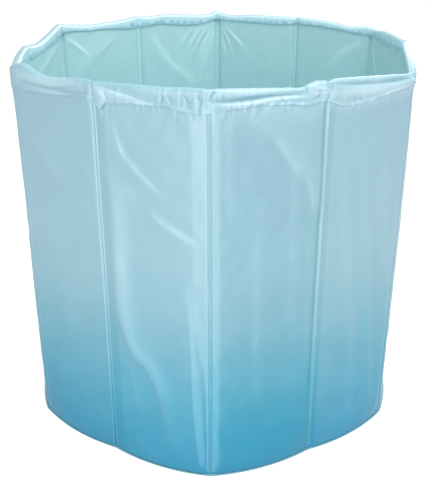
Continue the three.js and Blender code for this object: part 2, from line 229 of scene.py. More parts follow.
def crease(x, z, points, height, widths, power):
    """A fold in the cloth along a smooth line: at a distance d from the line it stands
    height * exp(-(d / width)^power), with one width on each side, and it fades at both ends
    as sin(pi * share)^0.6 of its length."""
    line = curve_through(np.array(points, float))
    lengths = np.hypot(*np.diff(line, axis=0).T)
    reached = np.concatenate([[0], np.cumsum(lengths)]) / lengths.sum()
    shape = np.broadcast(x, z).shape
    nearest, share, side = np.full(shape, np.inf), np.zeros(shape), np.zeros(shape)
    for index, (start, end) in enumerate(zip(line[:-1], line[1:])):
        dx, dz = end - start
        along = np.clip(((x - start[0]) * dx + (z - start[1]) * dz) / (dx * dx + dz * dz), 0, 1)
        off_x, off_z = x - start[0] - along * dx, z - start[1] - along * dz
        distance = np.hypot(off_x, off_z)
        closer = distance < nearest
        nearest = np.where(closer, distance, nearest)
        here = reached[index] + along * (reached[index + 1] - reached[index])
        share = np.where(closer, here, share)
        side = np.where(closer, dx * off_z - dz * off_x, side)
    width = np.where(side > 0, *np.broadcast_to(widths, 2))
    fade = np.sin(np.pi * np.clip(share, 0, 1)) ** 0.6
    return height * fade * np.exp(-((nearest / width) ** power))


def creases(x, z, folds, lift):
    """The sum of a panel's creases. Across, a fold's points are hundredths of the panel's half
    width, and upwards, units of lift millimetres."""
    total = np.zeros(np.broadcast(x, z).shape)
    for height, widths, power, points in folds:
        placed = [(u / 100 * half_pitch, w * lift) for u, w in points]
        total += crease(x, z, placed, height, widths, power)
    return total


shortest_wave = 45
unevenness_draw = np.random.default_rng(7)
unevenness_waves = [
    (
        unevenness_draw.integers(18, 75),
        unevenness_draw.uniform(-1, 1) / shortest_wave,
        unevenness_draw.uniform(0, 2 * math.pi),
    )
    for _ in range(14)
]


def unevenness(panel, u, z):
    """Soft unevenness of cloth stretched by hand, about 1 high: waves that close round the
    ring, each with its own count round it, count to a millimetre up it, and start."""
    around = 2 * math.pi * ring_share(panel, u) / panel_count
    total = sum(np.sin(n * around + 2 * math.pi * z * k + start) for n, k, start in unevenness_waves)
    return total / math.sqrt(len(unevenness_waves))


# The weld at each seam: the width of the cloth's slope up to the full swell, before and after
# the seam, and its beads and grooves as (place, width, height). Plain lists give the sharp
# seams' first and then the blunt seams'.
plain_slopes = [(14, 14), (9, 9)]
seam_slopes = {0: (14, 26), 1: (13, 6), 11: (13, 8)}
slope_round = 0.02
plain_beads = [
    [(0, 1.4, 1.5), (-3.2, 1.6, -0.3), (3.2, 1.6, -0.3)],
    [(-2.6, 1.2, 1.4), (2.6, 1.2, 1.4), (0, 0.9, -0.3)],
]
seam_beads = {11: [(-0.5, 2.6, 2.8), (6, 2.2, -0.5)]}

# Painted light and shade along each weld, where no board backs the cloth: above 0 a paler band
# where the web faces the light and painted highlights on its beads, and below 0 deeper, more
# teal painted shade in its grooves and beside them. Each band gives where it starts and ends,
# from the seam, and its strength
plain_weld_painted_shading = [
    [(-9, -3, 0.5), (3, 9, 0.5), (-3, -1, -0.6), (1, 3, -0.6)],
    [(-9, -4, -0.5), (4, 9, -0.5), (-3.5, -1.2, 0.8), (-1.2, 1.2, -1), (1.2, 3.5, 0.8)],
]
seam_painted_shading = {
    0: [(-14, -5, 0.6), (3.8, 26, 0.4), (-4.6, -1.8, -1.3), (1.8, 3.8, -1.3), (-1.6, 1.6, 0.5)],
    1: [(-20, -4, -0.7), (-3.9, -1.4, 1.4), (-1.3, 1.3, -1.2), (1.4, 3.9, 1.4)],
    11: [(-13, -3.5, -0.8), (-3.5, 2.5, 1), (3.5, 9, -1.6)],
}

# Painted light and shade on the skin: panel 12 is painted darker and panel 11 a little paler, for
# the light that falls on them; folds and puckers are painted paler by their height, and sunken
# folds darker; and the skin is painted paler close under the hem, as (strength, reach in millimetres)
panel_painted_light_and_shade = {12: -0.75, 11: 0.1}
fold_painted_shading = 0.17
pucker_painted_highlight = 0.4
under_hem_painted_light = {12: (1.6, 26), 11: (1.6, 11), 1: (0.4, 16)}
plain_under_hem_painted_light = (0.2, 12)

# The front seam's left web narrows towards the foot, but not close to the seam, to a share of
# its width. It starts to widen at the first level below, over the height after it.
front_web_start = 5
front_web_foot = 0.33
front_web_turn = (195.0, 100.0)

# The swell of the cloth over a board, the share of it that the foot's weld leaves, and the
# flare, where the foot runs out to the floor sheet's edge
skin_swell = 2.4
middle_swell = 1.2
skin_wave = 0.3
foot_share = 0.35
foot_rise = 22
foot_flare = 12.0
foot_flare_height = 40.0

# Creases of the outer skin, panel by panel: height, width on the left and right of the line's
# run or on both, how crisp, and its points in hundredths across and thousandths up the tub
fold_unit = tub_height / 1000
skin_folds = {
    1: [(6, (7, 17), 1.8, [(72, 800), (70, 720), (69, 460), (61, 385), (47, 330),
         (20, 290), (0, 235), (-13, 160), (-27, 50)]),
        (2, (6, 9), 1.6, [(62, 300), (52, 250), (44, 190), (40, 130)]),
        (2, (9, 3.5), 1.4, [(66, 920), (55, 857), (40, 825), (5, 780), (-30, 740)]),
        (2.7, (11, 4), 1.4, [(10, 720), (-5, 700), (-37, 676), (-73, 655), (-93, 665)]),
        (1.4, (10, 4), 1.4, [(68, 740), (50, 760), (30, 740)]),
        (1.4, (5, 8), 1.5, [(70, 100), (45, 60), (20, 30), (-10, 15)]),
        (1.2, (14, 10), 2, [(-55, 620), (-60, 400), (-58, 200)]),
        (1.8, (8, 5), 1.6, [(-50, 930), (-65, 955), (-85, 965)]),
        (1.7, (3.5, 5), 1.6, [(-60, 500), (-66, 370), (-67, 240), (-70, 140), (-77, 70), (-80, -20)]),
        (-2.8, 7, 2, [(-84, 340), (-86, 200), (-88, 100), (-90, -80)])],
    2: [(2, (5, 16), 1.6, [(60, 830), (20, 780), (-33, 730)]),
        (0.8, 14, 2, [(10, 600), (0, 350), (10, 100)])],
    3: [(3.5, 22, 2, [(-62, 620), (-66, 400), (-66, 200), (-66, 20)])],
    10: [(3.5, 22, 2, [(62, 950), (66, 600), (66, 300), (66, 20)])],
    11: [(2.2, (14, 9), 2, [(56, 830), (30, 500), (-4, 50)]),
        (2, (12, 9), 2, [(8, 820), (-20, 500), (-62, 50)]),
        (1.6, (12, 8), 2, [(-43, 810), (-60, 600), (-80, 400)]),
        (0.9, (3, 5), 1.5, [(-95, 90), (-80, 50), (-55, 10)]),
        (0.8, (3, 5), 1.5, [(-80, 100), (-62, 50), (-45, 10)])],
    12: [(5, (7, 34), 1.5, [(25, 935), (-16, 884), (-45.6, 828), (-77, 770), (-86, 685)]),
        (1, 9, 2, [(64, 950), (62, 850), (60, 700)]),
        (1.5, (9, 12), 2, [(12, 760), (10, 400), (8, 100)]),
        (1.6, (9, 12), 2, [(-50, 900), (-54, 500), (-57, 120)]),
        (1.2, (6, 7), 2, [(-80, 660), (-82, 400), (-80, 50)])],
}

# Puckers under the hem: the place in hundredths across, and the width, length down and height
# in millimetres. Panels that the list leaves out get an even row of soft ones.
skin_puckers = {
    1: [(-92, 4, 16, 1.2), (-80, 3, 10, 0.8), (-68, 4, 14, 0.9), (-41, 5, 12, 1.3),
        (-20, 4, 8, 0.5), (86, 4, 10, 1.2), (72, 3, 10, 0.7)],
    2: [(-90, 3, 12, 0.8), (-60, 6, 12, 0.5), (10, 9, 16, 0.6)],
    11: [(90, 4, 9, 1), (50, 4, 12, 1.1), (34, 4, 14, 1.1), (10, 7, 9, 0.7),
         (-30, 9, 9, 0.6)],
    12: [(92, 4, 20, 1.8), (76, 5, 15, 2), (60, 3, 11, 1.2), (43, 4, 14, 2),
         (27, 5, 26, 2.4), (2, 6, 15, 2.2), (-16, 3, 10, 1.2), (-29, 6, 12, 1.8),
         (-50, 4, 9, 1), (-90, 4, 14, 1.2)],
}
plain_puckers = [(-85, 4, 12, 0.8), (-55, 5, 8, 0.5), (-10, 6, 10, 0.5), (30, 4, 8, 0.5),
                 (60, 5, 12, 0.6), (88, 4, 11, 0.8)]

# How far the skin swells up under the hem's lower edge, so that the two run together, as
# shares of tuck_rise, and the lengths over which that fades and the hem presses the skin flat
hem_tucks = {1: 0.35, 2: 0.7, 11: 1.6, 12: 0.1}
plain_tuck = 0.4
tuck_rise = 1.3
tuck_fade = 14
hem_press = 7

# Short gathers: waves that close round the ring, as the count round it and the start
gather_counts = {"broad": (60, 170), "fine": (150, 300)}
gather_draw = np.random.default_rng(11)
gather_waves = {
    size: [(gather_draw.integers(*counts), gather_draw.uniform(0, 6.28)) for _ in range(12)]
    for size, counts in gather_counts.items()
}
gather_height = 0.5
gather_fade = 10.0
gather_lean = 30


def gathers(size, panel, u, start):
    """Gathers of the cloth, about 1 high, which lean and fork as start grows down the cloth."""
    around = 2 * math.pi * ring_share(panel, u) / panel_count
    waves = gather_waves[size]
    total = sum(np.sin(n * around + phase + start * (k - 5)) for k, (n, phase) in enumerate(waves))
    return total / math.sqrt(len(waves))


def web_spread(seam, distance, z):
    """Distances from a seam as they count for its web. Where the front seam's left web is
    narrower, the same distance counts for more."""
    low, length = front_web_turn
    share = front_web_foot + (1 - front_web_foot) * smooth_step((z - low) / length)
    counted = front_web_start + (distance - front_web_start) / share
    return np.where((seam == 0) & (distance > front_web_start), counted, distance + 0 * share)


def weld_rise(seam, distance):
    """Beads and grooves of the weld, and how much of the swell there is at a distance from
    the seam: it climbs in a straight slope, with its two ends rounded off."""
    before, after = seam_slopes.get(seam, plain_slopes[seam % 2])
    beads = seam_beads.get(seam, plain_beads[seam % 2])
    slope = np.abs(distance) / np.where(distance < 0, before, after)
    share = (slope + 1 - np.sqrt((slope - 1) ** 2 + slope_round)) / 2
    bead = sum(h * np.exp(-(((distance - place) / width) ** 2)) for place, width, h in beads)
    return bead, np.clip(share, 0, 1)


def weld_painted_shading(bands, distance):
    """The painted light and shade beside a seam: each band of its list, with edges about half a
    millimetre soft.
    """
    return sum(
        strength * smooth_step(distance - start + 0.5) * smooth_step(end - distance + 0.5)
        for start, end, strength in bands
    )


def puckers(panel, u, z):
    """The puckers under the hem: rounded ridges that die away downwards."""
    x, below = u * half_pitch, ring_z(hem_edge_points, panel, u) - z
    return sum(
        height * np.exp(-(((x - place / 100 * half_pitch) / width) ** 2))
        * (1 - smooth_step(below / length))
        for place, width, length, height in skin_puckers.get(panel, plain_puckers)
    )


def off_drain(panel, x, z):
    """0 where the drain's flange clamps the cloth flat, and 1 away from it."""
    if panel != drain_panel:
        return 1.0
    seat = np.maximum(np.abs(x), np.abs(z - drain_height))
    return smooth_step((seat - drain_seat) / drain_ramp)


def under_hem(z, edge, length):
    """0 below the hem's edge, rising to 1 over a length that starts 1 mm under it."""
    return smooth_step((z - edge + 1) / length)


def skin_rise(panel, u, z):
    """How far the outer skin stands off the wall's plain face, in millimetres: the welds at
    both seams, the swell between them, creases, unevenness, and the puckers under the hem."""
    from_first, from_last = (u + 1) * half_pitch, (u - 1) * half_pitch
    first_bead, first_share = weld_rise(panel - 1, web_spread(panel - 1, from_first, z))
    last_bead, last_share = weld_rise(panel % panel_count, from_last)
    open_share = first_share * last_share
    edge = ring_z(hem_edge_points, panel, u)
    below = np.clip(edge - z, 0, None)
    x = u * half_pitch
    rise = skin_swell + middle_swell * (1 - u * u) + skin_wave * unevenness(panel, u, z)
    rise = rise + creases(x, z, skin_folds.get(panel, []), fold_unit)
    rise = rise + tuck_rise * hem_tucks.get(panel, plain_tuck) * np.exp(-below / tuck_fade)
    rise = rise + puckers(panel, u, z)
    fading = np.exp(-below / gather_fade)
    rise = rise + gather_height * gathers("fine", panel, u, z / gather_lean) * fading
    foot = foot_share + (1 - foot_share) * smooth_step((z - skin_foot) / foot_rise)
    flare = foot_flare * (1 - u * u) * np.exp(-((z / foot_flare_height) ** 1.5))
    loose = off_drain(panel, x, z)
    pressed = 1 - under_hem(z, edge, hem_press)
    return (rise * loose * open_share * foot + flare * loose + first_bead + last_bead) * pressed


def skin_painted_shading(panel, u, z):
    """Painted light and shade on a panel: its painted shade by panel, painted highlights on its
    folds and puckers, painted shade in its sunken folds, and painted light close under the hem,
    where it is gathered."""
    folds = creases(u * half_pitch, z, skin_folds.get(panel, []), fold_unit)
    size, length = under_hem_painted_light.get(panel, plain_under_hem_painted_light)
    below = np.clip(ring_z(hem_edge_points, panel, u) - z, 0, None)
    painted_tone = panel_painted_light_and_shade.get(panel, 0.0) + fold_painted_shading * folds + pucker_painted_highlight * puckers(panel, u, z)
    return painted_tone + size * np.exp(-((below / length) ** 2))


def sheet_rows(foot, body, top_step):
    """Levels of a sheet's rows: a narrow first one, those of its body, and close ones where the
    hem presses it, up to the boards' top."""
    top = np.arange(hem_zone, board_top, top_step)
    return np.concatenate([[foot, foot + first_row], body, top, [board_top]])[:, None]


def stretched_top(z, panel, u):
    """The top rows of a sheet, spread so that its edge ends inside the hem's roll."""
    top = ring_z(crest_points, panel, u) - hem_radius - top_shortfall
    share = np.clip((z - board_top + top_stretch) / top_stretch, 0, 1)
    return z + share * (top - board_top)


def drain_cut(seam, a, z):
    """The cells of a sheet that lie in the drain's round hole, or None in other panels."""
    if drain_panel not in (seam, seam + 1):
        return None
    drain_a = half_pitch if seam + 1 == drain_panel else -half_pitch
    cell_a = (a[1:] + a[:-1])[None] / 2
    cell_z = (z[1:, 1:] + z[:-1, :-1]) / 2
    return np.hypot(cell_a - drain_a, cell_z - drain_height) < drain_hole


def laid_flat(seam, a, z):
    """Places of the cloth laid out flat, in metres along the ring and up."""
    return np.stack(np.broadcast_arrays((seam * panel_pitch + a)[None], z), -1) * mm


def hang_on_walls(piece, seam, part, panel, reach):
    """Joins a half to the wall that carries it. A piece over a seam is joined to no wall: its
    placement is baked into its mesh."""
    if part == "whole":
        corner = wall_points(seam, np.array([-reach, reach]), 0.0, 0.0)
        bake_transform(piece)
    else:
        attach(piece, f"wall_{panel:02d}")


def closed_sheet(name, material, outside, inside, flat, painted_shading=None, gaps=None):
    """A sheet of cloth with thickness, as one closed mesh: a grid of points for its outside,
    one for its inside, and a rim that joins their edges. The flat places of the cloth become
    its UV map, its painted light and shade is kept with its points, and gaps are the cells cut
    out for a hole."""
    grid = outside.shape[:2]
    offset = grid[0] * grid[1]
    index = np.arange(offset).reshape(grid)
    cells = np.stack([index[:-1, :-1], index[1:, :-1], index[1:, 1:], index[:-1, 1:]], -1)
    front = cells.reshape(-1, 4) if gaps is None else cells[~gaps]
    sides = np.concatenate([front[:, [corner, (corner + 1) % 4]] for corner in range(4)])
    keys = np.sort(sides, 1) @ np.array([offset, 1])
    _, first, count = np.unique(keys, return_index=True, return_counts=True)
    open_sides = sides[first[count == 1]]
    rim = np.hstack([open_sides[:, ::-1], open_sides + offset])
    quads = np.concatenate([front, front[:, ::-1] + offset, rim])
    used = np.unique(quads)
    fresh = np.zeros(2 * offset, int)
    fresh[used] = np.arange(len(used))
    points = np.concatenate([outside.reshape(-1, 3), inside.reshape(-1, 3)])[used]
    flat = np.concatenate([flat.reshape(-1, 2)] * 2)
    mesh = bpy.data.meshes.new(name)
    mesh.from_pydata(points, [], fresh[quads])
    mesh.materials.append(material)
    cloth_map = flat[quads.ravel()].astype(np.float32)
    mesh.uv_layers.new(name="cloth").data.foreach_set("uv", cloth_map.ravel())
    if painted_shading is not None:
        tints = np.concatenate([np.broadcast_to(painted_shading, grid).ravel()] * 2)[used]
        mesh.attributes.new("painted_shading", "FLOAT", "POINT").data.foreach_set("value", tints)
    mesh.polygons.foreach_set("use_smooth", np.ones(len(quads), bool))
    rim_corners = np.zeros(len(used), bool)
    rim_corners[fresh[rim]] = True
    ends = np.zeros(2 * len(mesh.edges), int)
    mesh.edges.foreach_get("vertices", ends)
    ends = ends.reshape(-1, 2)
    is_back = used[ends] >= offset
    sharp = rim_corners[ends].all(1) & (is_back[:, 0] == is_back[:, 1])
    mesh.attributes.new("sharp_edge", "BOOLEAN", "EDGE").data.foreach_set("value", sharp)
    return put_in_scene(name, mesh)


def linear(hex_code):
    """An sRGB colour as linear red, green and blue, with alpha."""
    parts = [int(hex_code[i : i + 2], 16) / 255 for i in (1, 3, 5)]
    return (*[c / 12.92 if c <= 0.04045 else ((c + 0.055) / 1.055) ** 2.4 for c in parts], 1.0)


def set_inputs(node, inputs):
    """Sets a node's inputs, by name or in their order, each to a value, to one of a node's
    outputs, or to a node, which stands for its first output."""
    for key, value in inputs.items() if isinstance(inputs, dict) else enumerate(inputs):
        if isinstance(value, bpy.types.Node):
            value = value.outputs[0]
        if isinstance(value, bpy.types.NodeSocket):
            node.id_data.links.new(value, node.inputs[key])
        else:
            node.inputs[key].default_value = value


def add_node(tree, kind, inputs=(), **settings):
    """Adds one shader node with its settings and inputs. In their order, those of MapRange are
    the value, the two ends of the range that it comes from and the two of the one it goes to."""
    node = tree.nodes.new("ShaderNode" + kind)
    for name, value in settings.items():
        setattr(node, name, value)
    set_inputs(node, inputs)
    return node


def new_material(name):
    """A new material, with its tree of nodes and its shader."""
    material = bpy.data.materials.new(name)
    material.use_nodes = True
    return material, material.node_tree, material.node_tree.nodes["Principled BSDF"]


# Patterns of the coat, as counts to a metre: clouds of colour about 70 mm across, slow ripples
# of 17 mm, and a grain of 1.1 mm, which is coarser than the real one so that it shows
cloud_scale = 14.0
cloud_drift = 0.012
cloud_mottle = 0.02
ripple_scale = 60.0
ripple_depth = 0.0006
grain_scale = 900.0
grain_depth = 0.00008
# Painted light and shade change the saturation by this share of their strength, painted shade deepening
# it, and painted shade turns the hue from the plain blue towards teal
fade_share = 0.9
blue_hue = 0.5
painted_shade_hue = 0.455


def coated_cloth(name, shades, roughness, painted_shading_depth=0.0):
    """Coated cloth: its colour runs up the wall through the given shades, it is painted paler,
    or deeper and more teal, along welds and folds by the painted light and shade that its sheet
    carries, its coat has a fine grain over slow ripples, and its shine varies a little."""
    material, tree, surface = new_material(name)
    place = add_node(tree, "UVMap", uv_map="cloth")
    parts = add_node(tree, "SeparateXYZ", [place])
    cloud = add_node(tree, "TexNoise", {"Vector": place, "Scale": cloud_scale, "Detail": 3.0})
    drift = add_node(tree, "MapRange", [cloud, 0.3, 0.7, -cloud_drift, cloud_drift])
    height = add_node(tree, "Math", [parts.outputs["Y"], drift], operation="ADD")
    share = add_node(tree, "Math", [height, tub_height * mm], operation="DIVIDE")
    ramp = add_node(tree, "ValToRGB", [share])
    ramp.color_ramp.interpolation = "B_SPLINE" if len(shades) > 2 else "LINEAR"
    while len(ramp.color_ramp.elements) < len(shades):
        ramp.color_ramp.elements.new(0.5)
    for element, (position, hex_code) in zip(ramp.color_ramp.elements, shades):
        element.position = position
        element.color = linear(hex_code)
    mottle = add_node(tree, "MapRange", [cloud, 0.25, 0.75, 1 - cloud_mottle, 1 + cloud_mottle])
    # The painted light and shade that the sheet carries: paler above 0, darker below 0
    painted_shading = add_node(tree, "Attribute", attribute_name="painted_shading").outputs["Fac"]
    value = add_node(tree, "Math", [painted_shading, painted_shading_depth, mottle], operation="MULTIPLY_ADD")
    depth = add_node(tree, "Math", [painted_shading, -fade_share * painted_shading_depth, 1.0], operation="MULTIPLY_ADD")
    hue = add_node(tree, "MapRange", [painted_shading, -4.0, -0.9, painted_shade_hue, blue_hue])
    shade = add_node(
        tree, "HueSaturation", {"Color": ramp, "Hue": hue, "Saturation": depth, "Value": value}
    )
    grain = add_node(tree, "TexNoise", {"Vector": place, "Scale": grain_scale, "Detail": 2.0})
    ripple = add_node(tree, "TexNoise", {"Vector": place, "Scale": ripple_scale, "Detail": 2.0})
    fine = add_node(tree, "Bump", {"Height": grain, "Strength": 0.25, "Distance": grain_depth})
    slow = add_node(
        tree, "Bump",
        {"Height": ripple, "Strength": 0.5, "Distance": ripple_depth, "Normal": fine},
    )
    shine = add_node(tree, "MapRange", [ripple, 0.3, 0.7, roughness - 0.03, roughness + 0.04])
    set_inputs(surface, {
        "Base Color": shade, "Normal": slow, "Roughness": shine, "IOR": 1.52,
        "Coat Weight": 0.8, "Coat Roughness": 0.24,
    })
    return material


# Calendered PVC film on nylon: smooth, with a satin shine, and printed so that the pale blue
# of the top deepens to a sea blue at the foot
skin_shades = [
    (0.0, "#129CC4"), (0.08, "#28A5CB"), (0.2, "#4AB3D1"), (0.34, "#75BFD6"),
    (0.46, "#97CCDE"), (0.6, "#A4D3E3"), (1.0, "#AAD6E6"),
]
skin_material = coated_cloth("coated_nylon_ombre", skin_shades, 0.42, painted_shading_depth=0.09)

skin_z = sheet_rows(skin_foot, np.r_[6.0:24.0:3.0, 25.0:590.0:5.0], 1.5)
for seam, part, label, panel in seam_parts():
    a = columns_beside(part)
    z = beside_seam(seam, a, lambda p, u: stretched_top(skin_z, p, u))
    rise = beside_seam(seam, a, lambda p, u: skin_rise(p, u, stretched_top(skin_z, p, u)))
    # Painted light and shade of the skin, by panel, fold, pucker and hem, added to the welds' own
    painted_tone = beside_seam(seam, a, lambda p, u: skin_painted_shading(p, u, skin_z))
    bands = seam_painted_shading.get(seam, plain_weld_painted_shading[seam % 2])
    piece = closed_sheet(
        f"skin_{label}", skin_material, wall_points(seam, a, rise, z),
        wall_points(seam, a, rise - skin_thickness, z), laid_flat(seam, a, z),
        weld_painted_shading(bands, web_spread(seam, a, z)) + painted_tone, drain_cut(seam, a, z),
    )
    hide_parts(f"outer_skin_{panel:02d}")
    hang_on_walls(piece, seam, part, panel, weld_reach)

# Boards: one stiff board in each pocket of the wall, cut from twin-wall polypropylene sheet,
# which is milky and matt. They hold the wall up, and the cloth on both sides hides them.
wear_scale = 60.0


def plain_plastic(name, shade, roughness, grain, depth, index):
    """Plastic or rubber of one colour right through. Its grain has the given size and depth in
    millimetres, and its shine varies over a few centimetres."""
    material, tree, surface = new_material(name)
    place = add_node(tree, "TexCoord").outputs["Object"]
    texture = add_node(tree, "TexNoise", {"Vector": place, "Scale": 1 / (grain * mm), "Detail": 2.0})
    bump = add_node(tree, "Bump", {"Height": texture, "Strength": 0.6, "Distance": depth * mm})
    wear = add_node(tree, "TexNoise", {"Vector": place, "Scale": wear_scale, "Detail": 2.0})
    shine = add_node(tree, "MapRange", [wear, 0.3, 0.7, roughness - 0.05, roughness + 0.05])
    set_inputs(surface, {"Base Color": linear(shade), "Normal": bump, "Roughness": shine, "IOR": index})
    return material


board_material = plain_plastic("polypropylene_sheet", "#E8EDED", 0.6, 1.2, 0.02, 1.49)
for panel in range(1, panel_count + 1):
    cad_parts[f"board_{panel:02d}"].material_slots[0].material = board_material

# Lining: the same coated cloth in a plain aqua, welded to the skin at each seam, and smooth
# over the boards. It is the side that holds the water, and its top ends inside the hem.
lining_foot = 7.0
lining_thickness = 0.8
lining_face = 6.2
lining_weld_face = 1.9
lining_weld = 3.0
lining_slope = 11.0
lining_bead = 1.7
taut_edge = 6
loose_edge = 18
lining_wave = 0.35
lining_shift = 0.4
lining_foot_rise = 20
inner_press = 6
floor_top = 6.6

# The hem's inner edge, in the same form as its outer one
inner_edge_points = [
    (0, 16), (0.5, 17), (1, 18), (1.55, 24), (2, 20), (2.5, 19), (3.095, 29), (3.33, 26.7), (3.51, 23.4),
    (3.79, 18.9), (4, 12), (4.145, 10), (4.365, 12.5), (4.54, 12), (4.825, 16.3), (4.985, 16.9),
    (5.245, 11.5), (5.56, 16.9), (5.77, 16.3), (5.925, 9.5), (6.16, 10), (6.46, 11.1), (6.88, 11.1),
    (7.055, 8.5), (7.5, 9), (7.865, 13.5), (8.025, 15), (8.16, 11.1), (8.505, 15), (8.73, 16.9),
    (8.98, 11.1), (9.39, 13.7), (9.85, 17), (10.05, 23), (10.5, 20), (11, 15), (11.25, 18), (11.75, 16),
]

# Creases of the lining, in the same form as the skin's
lining_folds = {
    4: [(1.2, (4, 12), 1.6, [(-60, 900), (10, 930), (80, 955)])],
    5: [(2.2, (3, 9), 1.6, [(-93, 955), (-74, 950), (-33, 900)]),
        (1.5, (4, 26), 1.7, [(40, 955), (0, 915), (-35, 880), (-85, 820)])],
    6: [(1.3, (2, 4), 1.6, [(92, 955), (78, 900), (66, 840)]),
        (1.7, (2, 4), 1.6, [(86, 965), (60, 900), (42, 840)]),
        (1.7, (2, 4), 1.6, [(74, 965), (42, 900), (22, 850)]),
        (1.6, (2, 4), 1.6, [(58, 965), (24, 900), (6, 860)]),
        (1.3, (2, 4), 1.6, [(38, 965), (10, 920), (-8, 890)]),
        (2.2, (5, 12), 1.7, [(-69, 940), (-26, 855), (50, 760)]),
        (1.6, 6, 1.8, [(82, 945), (64, 886), (50, 758)])],
    7: [(1.5, (2, 4), 1.6, [(-78, 960), (-45, 920), (-12, 870)]),
        (1.5, (2, 4), 1.6, [(-92, 950), (-80, 890), (-70, 830)]),
        (1.7, (2, 4), 1.6, [(-86, 960), (-64, 900), (-50, 850)])],
    8: [(1.6, 8, 2, [(70, 950), (20, 900), (-20, 840)])],
    9: [(1.6, (6, 8), 2, [(-90, 950), (-60, 900), (-20, 860)])],
}


def lining_rise(panel, u, z):
    """How far the lining stands in from the wall's plain face: at a weld it lies against the
    skin, from there it slopes to the boards' face, and over a board it is slightly uneven."""
    from_seam = (1 - np.abs(u)) * half_pitch
    slope = smooth_step((from_seam - lining_weld) / (lining_slope - lining_weld))
    x = u * half_pitch
    loose = lining_wave * (1 + unevenness(panel, u + lining_shift, z))
    loose = loose + creases(x, z, lining_folds.get(panel, []), fold_unit)
    loose = loose * off_drain(panel, x, z)
    pressed = 1 - under_hem(z, ring_z(inner_edge_points, panel, u), inner_press)
    bead = np.exp(-((from_seam / lining_bead) ** 2))
    edge = smooth_step((from_seam - taut_edge) / (loose_edge - taut_edge))
    edge = edge * smooth_step((z - lining_foot) / lining_foot_rise)
    face = lining_weld_face + (lining_face - lining_weld_face) * slope
    return face + (loose * edge + bead) * pressed


# Painted light and shade along the lining's welds, in the same form as the skin's: a painted
# highlight over the bead and painted shade beside it; and painted highlights along its folds
lining_weld_painted_shading = [(-6, -2.6, -0.4), (-2.2, 1.4, 1.6), (1.6, 5, -1.2)]
lining_fold_painted_shading = 0.55

# The same film in plain aqua, painted paler than its own colour as painted light for the inside
# of the tub, and a little smoother, so that its shine is crisper
lining_shades_with_painted_light = [(0.0, "#BEE9EC"), (1.0, "#C9F1F4")]
lining_material = coated_cloth("coated_nylon_aqua", lining_shades_with_painted_light, 0.4, painted_shading_depth=0.08)

lining_z = sheet_rows(lining_foot, np.r_[12.0:590.0:8.0], 1.8)
for seam, part, label, panel in seam_parts():
    a = columns_beside(part)
    z = beside_seam(seam, a, lambda p, u: stretched_top(lining_z, p, u))
    rise = beside_seam(seam, a, lambda p, u: lining_rise(p, u, stretched_top(lining_z, p, u)))
    # Painted highlights along the lining's folds, by their height
    folds = beside_seam(seam, a, lambda p, u: creases(
        u * half_pitch, lining_z, lining_folds.get(p, []), fold_unit
    ))
    piece = closed_sheet(
        f"lining_{label}", lining_material, wall_points(seam, a, lining_thickness - rise, z),
        wall_points(seam, a, -rise, z), laid_flat(seam, a, z),
        weld_painted_shading(lining_weld_painted_shading, a) + lining_fold_painted_shading * folds, drain_cut(seam, a, z),
    )
    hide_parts(f"liner_{panel:02d}")
    hang_on_walls(piece, seam, part, panel, weld_reach)

# Rim hem: a band of the coated cloth folded over the top of the skin and the lining and
# welded to both. It is a soft hollow roll, puckered where the band was fed in too fast, and
# drawn in at each seam.
hem_thickness = 1.2
hem_gap = 0.3
hem_middle = 3.1
hem_roll = 1.3
hem_inner_roll = 0.7
hem_pinch = 1.6
hem_pinch_width = 3.5
hem_nip = 2.0
hem_nip_width = 7.0
hem_wave = 0.35
hem_blend = 12.0
edge_climb = 0.12
deepest_fold = -0.1
fullest_inside = 1.6
flush_thinning = 0.8

# Lengths down the cloth over which gathers lean, for the broad ones, the inside and its tint
broad_lean = 45
inside_lean = 40
hang_lean = 60
hang_wave = 0.16

# Height of the hem's gathers: its least, what is added along the panel, the share across the
# panel where that starts, and the share over which it comes
hem_gathers = {
    1: (0.1, 0.25, 0.1, -0.4), 2: (0.08, 0, 0, 1), 11: (0.1, 0, 0, 1), 12: (0.3, 0.3, 0.1, 0.5),
}
plain_hem_gathers = (0.3, 0, 0, 1)

# How nearly the hem's lower edge is pressed flush with the skin
hem_flush = {1: 0.2, 2: 0.6, 11: 1.0, 12: 0.0}
plain_flush = 0.3

